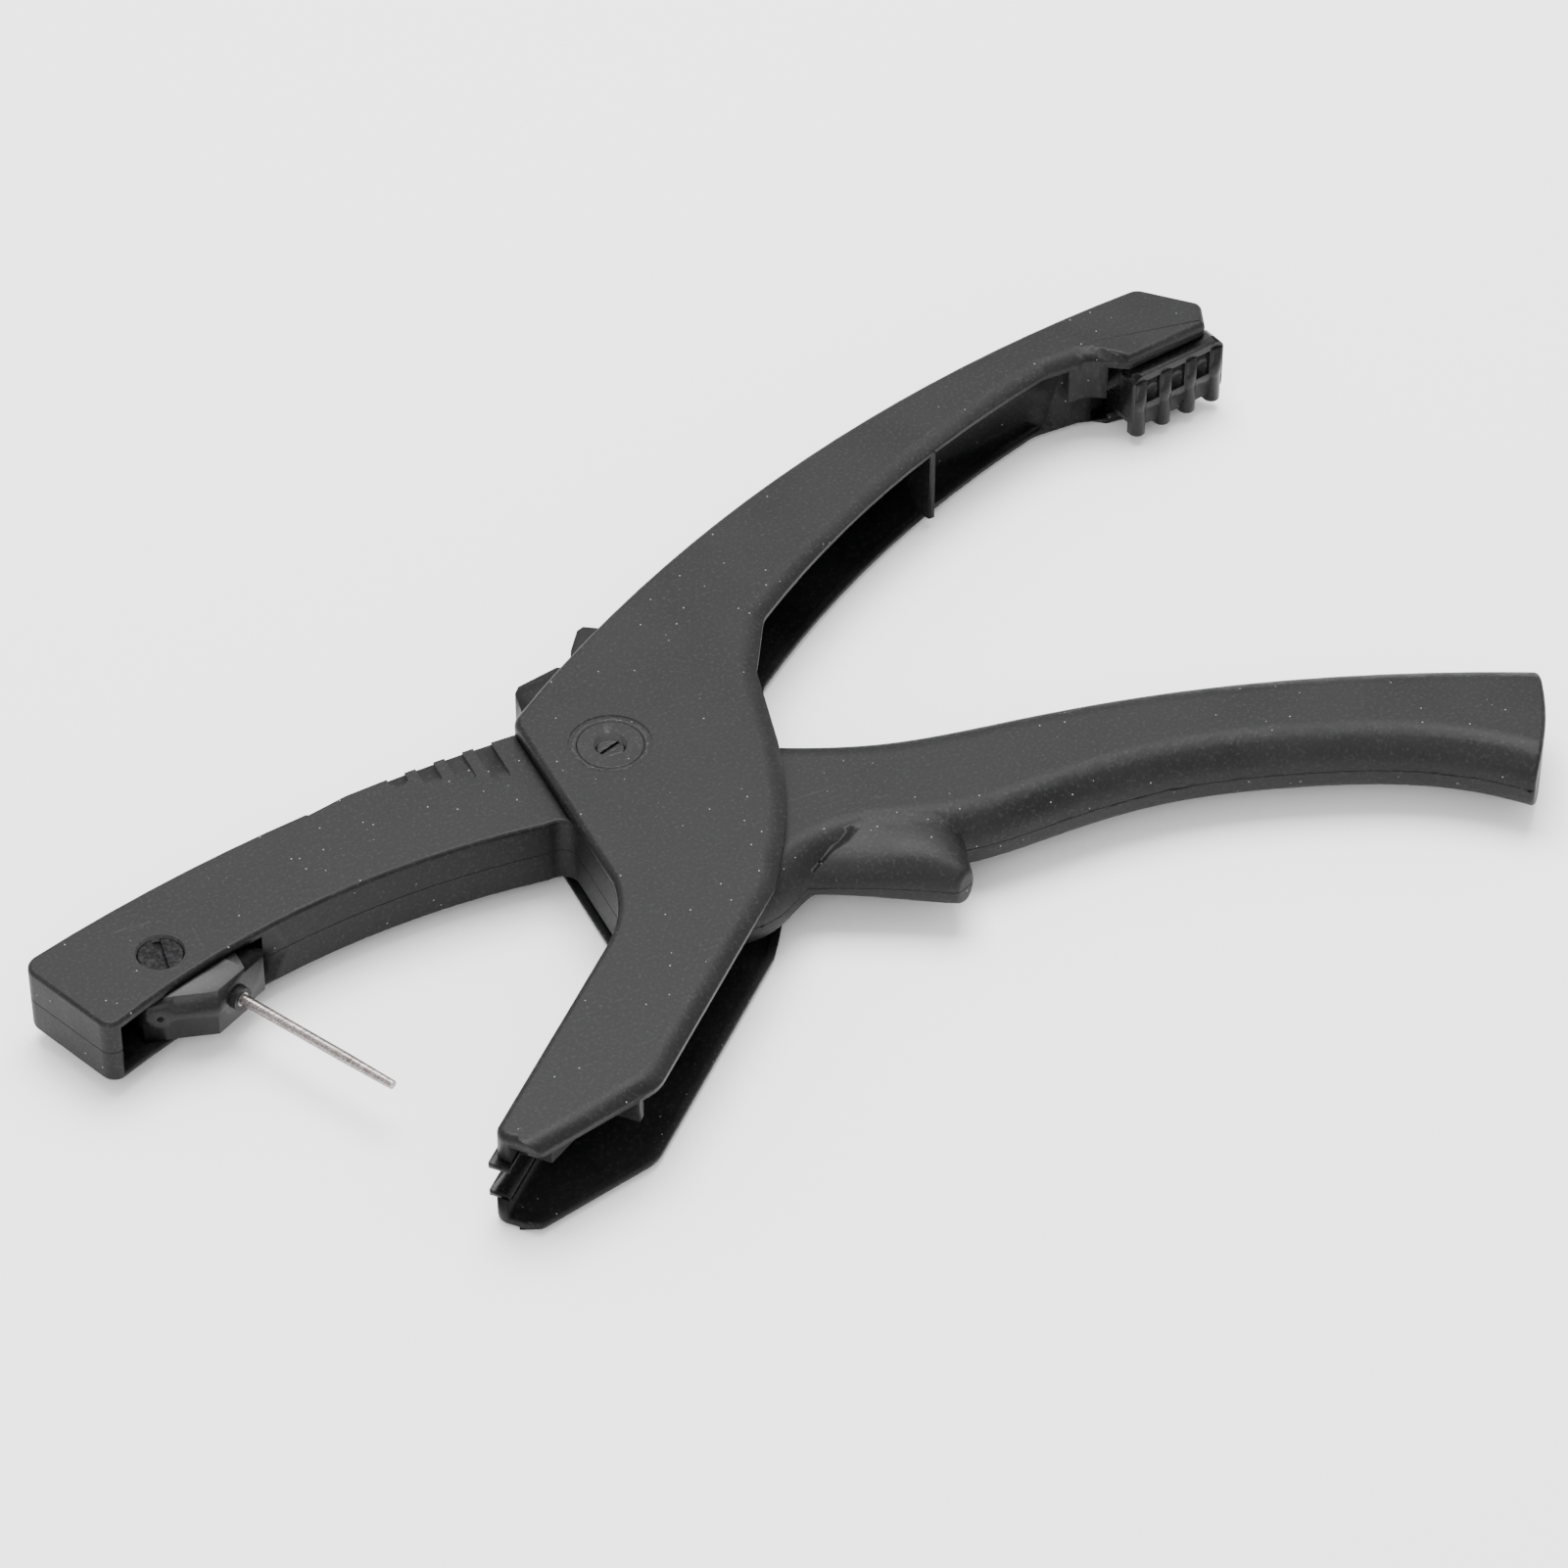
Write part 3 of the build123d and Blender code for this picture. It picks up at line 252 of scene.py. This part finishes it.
def worn_metal(name, colour, shade, roughness, streak, streak_scale):
    """Metal with fine streaks along one direction, darker stains and uneven gloss."""
    material, tree, shader, where = new_material(name)
    drawn = linked(tree, "Mapping", Vector=where, Rotation=(0.0, 0.0, streak), Scale=streak_scale)
    lines = linked(tree, "TexNoise", Vector=drawn.outputs[0], Scale=1.0, Detail=5.0, Roughness=0.65)
    stains = linked(tree, "TexNoise", Vector=where, Scale=420.0, Detail=3.0)
    tone = blended(tree, ramp(tree, lines.outputs["Fac"], 0.35, 0.7, 0.0, 1.0), shade, colour)
    tone = blended(tree, ramp(tree, stains.outputs["Fac"], 0.55, 0.75, 0.0, 0.6), tone, shade)
    tree.links.new(tone, shader.inputs["Base Color"])
    sheen = ramp(tree, stains.outputs["Fac"], 0.3, 0.7, roughness - 0.07, roughness + 0.12)
    tree.links.new(sheen, shader.inputs["Roughness"])
    shader.inputs["Metallic"].default_value = 1.0
    bump = linked(tree, "Bump", Height=lines.outputs["Fac"], Strength=0.15, Distance=0.00006)
    tree.links.new(bump.outputs["Normal"], shader.inputs["Normal"])
    return material


EVEN = (1400.0, 1400.0, 1400.0)
BRUSHED = (300.0, 3000.0, 3000.0)
dark_steel = worn_metal("dark_steel", (0.045, 0.045, 0.047), (0.015, 0.015, 0.015), 0.4, 0.35, BRUSHED)
spring_steel = worn_metal("spring_steel", (0.42, 0.42, 0.44), (0.16, 0.15, 0.15), 0.3, 0.0, EVEN)
brass = worn_metal("brass", (0.62, 0.46, 0.18), (0.30, 0.20, 0.08), 0.34, 0.0, EVEN)
post = rounded_copy("pivot_post", "pivot_post_moulding")
finished(post, fine_nylon, "anvil_arm", "black_nylon_fine", "pivot_post")
cap = rounded_copy("pivot_cap", "pivot_cap_disc")
finished(cap, fine_nylon, "anvil_arm", "black_nylon_fine", "pivot_cap")
painted("pivot_screw", dark_steel)
# Ragged flash left round the spun cap, lying in its shallow ring
flash_steps = 240
flash_sides = 5
flash_inner = 6.0 * MM
flash_middle = 6.7
flash_wander = 0.6
flash_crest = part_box("pivot_cap")[1][2] - 0.02 * MM
flash_foot = flash_crest - 0.3 * MM
flash_lip = 0.12 * MM
# Strength, count round the ring and start of each of the waves that tear its edge
flash_waves = ((0.3, 7, 0.4), (0.26, 17, 1.9), (0.2, 31, 0.0), (0.14, 53, 0.0))
flash_rings = []
for step in range(flash_steps):
    turn = 2 * pi * step / flash_steps
    ragged = sum(strength * sin(count * turn + start) for strength, count, start in flash_waves)
    outer = (flash_middle + flash_wander * ragged) * MM
    top = flash_crest - (0.05 + 0.04 * sin(23 * turn)) * MM
    section = (
        (flash_inner, flash_foot),
        (flash_inner, top),
        ((flash_inner + outer) / 2, flash_crest),
        (outer - flash_lip, top),
        (outer, flash_foot),
    )
    flash_rings.append([(radius * cos(turn), radius * sin(turn), level) for radius, level in section])
flash_points = [point for ring in flash_rings for point in ring]
flash_faces = []
for step in range(flash_steps):
    here = step * flash_sides
    ahead = (step + 1) % flash_steps * flash_sides
    for side in range(flash_sides):
        following = (side + 1) % flash_sides
        flash_faces.append((here + side, here + following, ahead + following, ahead + side))
flash_mesh = bpy.data.meshes.new("cap_flash")
flash_mesh.from_pydata(flash_points, [], flash_faces)
flash_shape = bmesh.new()
flash_shape.from_mesh(flash_mesh)
bmesh.ops.recalc_face_normals(flash_shape, faces=flash_shape.faces)
flash_shape.to_mesh(flash_mesh)
flash_shape.free()
flash_mesh.shade_smooth()
flash = bpy.data.objects.new("cap_flash", flash_mesh)
bpy.context.collection.objects.link(flash)
flash_nylon = moulded_plastic("torn_flash", (0.008, 0.008, 0.008), (0.020, 0.020, 0.020), 0.45, 0.9, 0.3)
finished(flash, flash_nylon, "anvil_arm", "black_nylon")

# ---------------------------------------------------------------- washers and spring
# Acetal thrust washers keep the lever off the plates. The coil spring of drawn
# steel wire sits round the post and opens the tool.
acetal = moulded_plastic("acetal", (0.55, 0.54, 0.50), (0.68, 0.67, 0.63), 0.4, 0.05, 0.0)
for washer in ("lower_thrust_washer", "upper_thrust_washer"):
    painted(washer, acetal)
painted("return_spring", spring_steel)
painted("latch_leaf_spring", spring_steel)

# ---------------------------------------------------------------- lever
# The moving half: two nylon shells screwed together along the parting line at
# mid height, with a rounded grip, a finger bump and thumb flutes by the hub.
SHELL_RIM = 0.8 * MM
SEAM_WIDTH = 0.15 * MM
GRIP_END = 130 * MM
FLUTES = (Vector((-50.0, -4.0, 0.0)) * MM, Vector((-12.0, 20.0, 0.0)) * MM)
SHELL_CLEAR = (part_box("jaw_screw"), FLUTES)
SHELL_LEVELS = (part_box("lever_lower_shell")[0][2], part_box("lever_upper_shell")[1][2])
for shell in ("lever_lower_shell", "lever_upper_shell"):
    name = shell.replace("lever", "pin_arm")
    moulding = rounded_copy(shell, name, SHELL_RIM, SHELL_LEVELS, SHELL_CLEAR, GRIP_END, SEAM_WIDTH)
    finished(moulding, black_nylon, "pin_arm", "black_nylon", shell)
painted("lever_bush", acetal)
painted("shell_screws", dark_steel)

# ---------------------------------------------------------------- carrier screw
# A blackened slotted screw with a shallow round head in a rimmed recess. It runs
# through a bush to a brass insert in the lower shell.
black_screw = worn_metal("black_screw", (0.020, 0.020, 0.021), (0.007, 0.007, 0.007), 0.42, 0.0, EVEN)
painted("jaw_screw", black_screw)
painted("jaw_screw_insert", brass)
painted("carrier_bush", acetal)
painted("carrier_spring", spring_steel)

# ---------------------------------------------------------------- pin carrier
# A small swinging block that holds the needle by its base and gives way when the
# animal pulls, so that the pin comes out of the tag.
carrier = rounded_copy("pin_carrier", "carrier_block")
finished(carrier, glossy_black, "pin_carrier_body", "glossy_black", "pin_carrier")
bright_steel = worn_metal(
    "bright_steel", (0.42, 0.385, 0.375), (0.13, 0.115, 0.11), 0.3, radians(62.6), (120.0, 4200.0, 4200.0)
)
painted("applicator_pin", bright_steel)
painted("pin_collar", fine_nylon)

# ---------------------------------------------------------------- thumb slide
# A ribbed nylon button that slides a few millimetres on rails in the end of the
# handle, with a leaf spring behind it.
slide = rounded_copy("handle_latch", "thumb_slide_button")
finished(slide, glossy_black, "thumb_slide", "glossy_black", "handle_latch")

# ---------------------------------------------------------------- floor, lights and camera
# A plain white sweep under soft studio light from above, and the long lens that
# looks down on the tool from its mouth side.
floor_mesh = bpy.data.meshes.new("floor")
floor_size = 6.0
floor_signs = ((-1, -1), (1, -1), (1, 1), (-1, 1))
floor_mesh.from_pydata([(x * floor_size, y * floor_size, 0.0) for x, y in floor_signs], [], [(0, 1, 2, 3)])
floor = bpy.data.objects.new("floor", floor_mesh)
bpy.context.collection.objects.link(floor)
paper = bpy.data.materials.new("paper_sweep")
paper.use_nodes = True
paper_shader = next(node for node in paper.node_tree.nodes if node.type == "BSDF_PRINCIPLED")
paper_shader.inputs["Base Color"].default_value = (0.97, 0.97, 0.97, 1.0)
paper_shader.inputs["Roughness"].default_value = 0.9
floor_mesh.materials.append(paper)

world = bpy.data.worlds.new("studio")
world.use_nodes = True
world.node_tree.nodes["Background"].inputs["Color"].default_value = (1.0, 1.0, 1.0, 1.0)
world.node_tree.nodes["Background"].inputs["Strength"].default_value = 1.45
bpy.context.scene.world = world


def softbox(name, place, size, watts):
    """Square area light that faces the tool."""
    light = bpy.data.lights.new(name, "AREA")
    light.size = size
    light.energy = watts
    lamp = bpy.data.objects.new(name, light)
    lamp.location = place
    lamp.rotation_euler = (-Vector(place)).to_track_quat("-Z", "Y").to_euler()
    bpy.context.collection.objects.link(lamp)


softbox("overhead_softbox", (0.15, 0.35, 1.3), 0.9, 40.0)
softbox("front_softbox", (-0.7, -0.9, 0.9), 0.8, 7.0)

view_azimuth = radians(-25.0)
view_elevation = radians(43.0)
view_distance = 1083.3 * MM
view_aim = Vector((24.8, -16.7, 14.9)) * MM
view_direction = Vector(
    (
        -sin(view_azimuth) * cos(view_elevation),
        cos(view_azimuth) * cos(view_elevation),
        -sin(view_elevation),
    )
)
lens = bpy.data.cameras.new("studio_camera")
lens.lens = 146.2
lens.sensor_width = 36.0
lens.clip_end = 20.0
camera = bpy.data.objects.new("studio_camera", lens)
camera.location = view_aim - view_direction * view_distance
camera.rotation_euler = view_direction.to_track_quat("-Z", "Y").to_euler()
bpy.context.collection.objects.link(camera)
bpy.context.scene.camera = camera
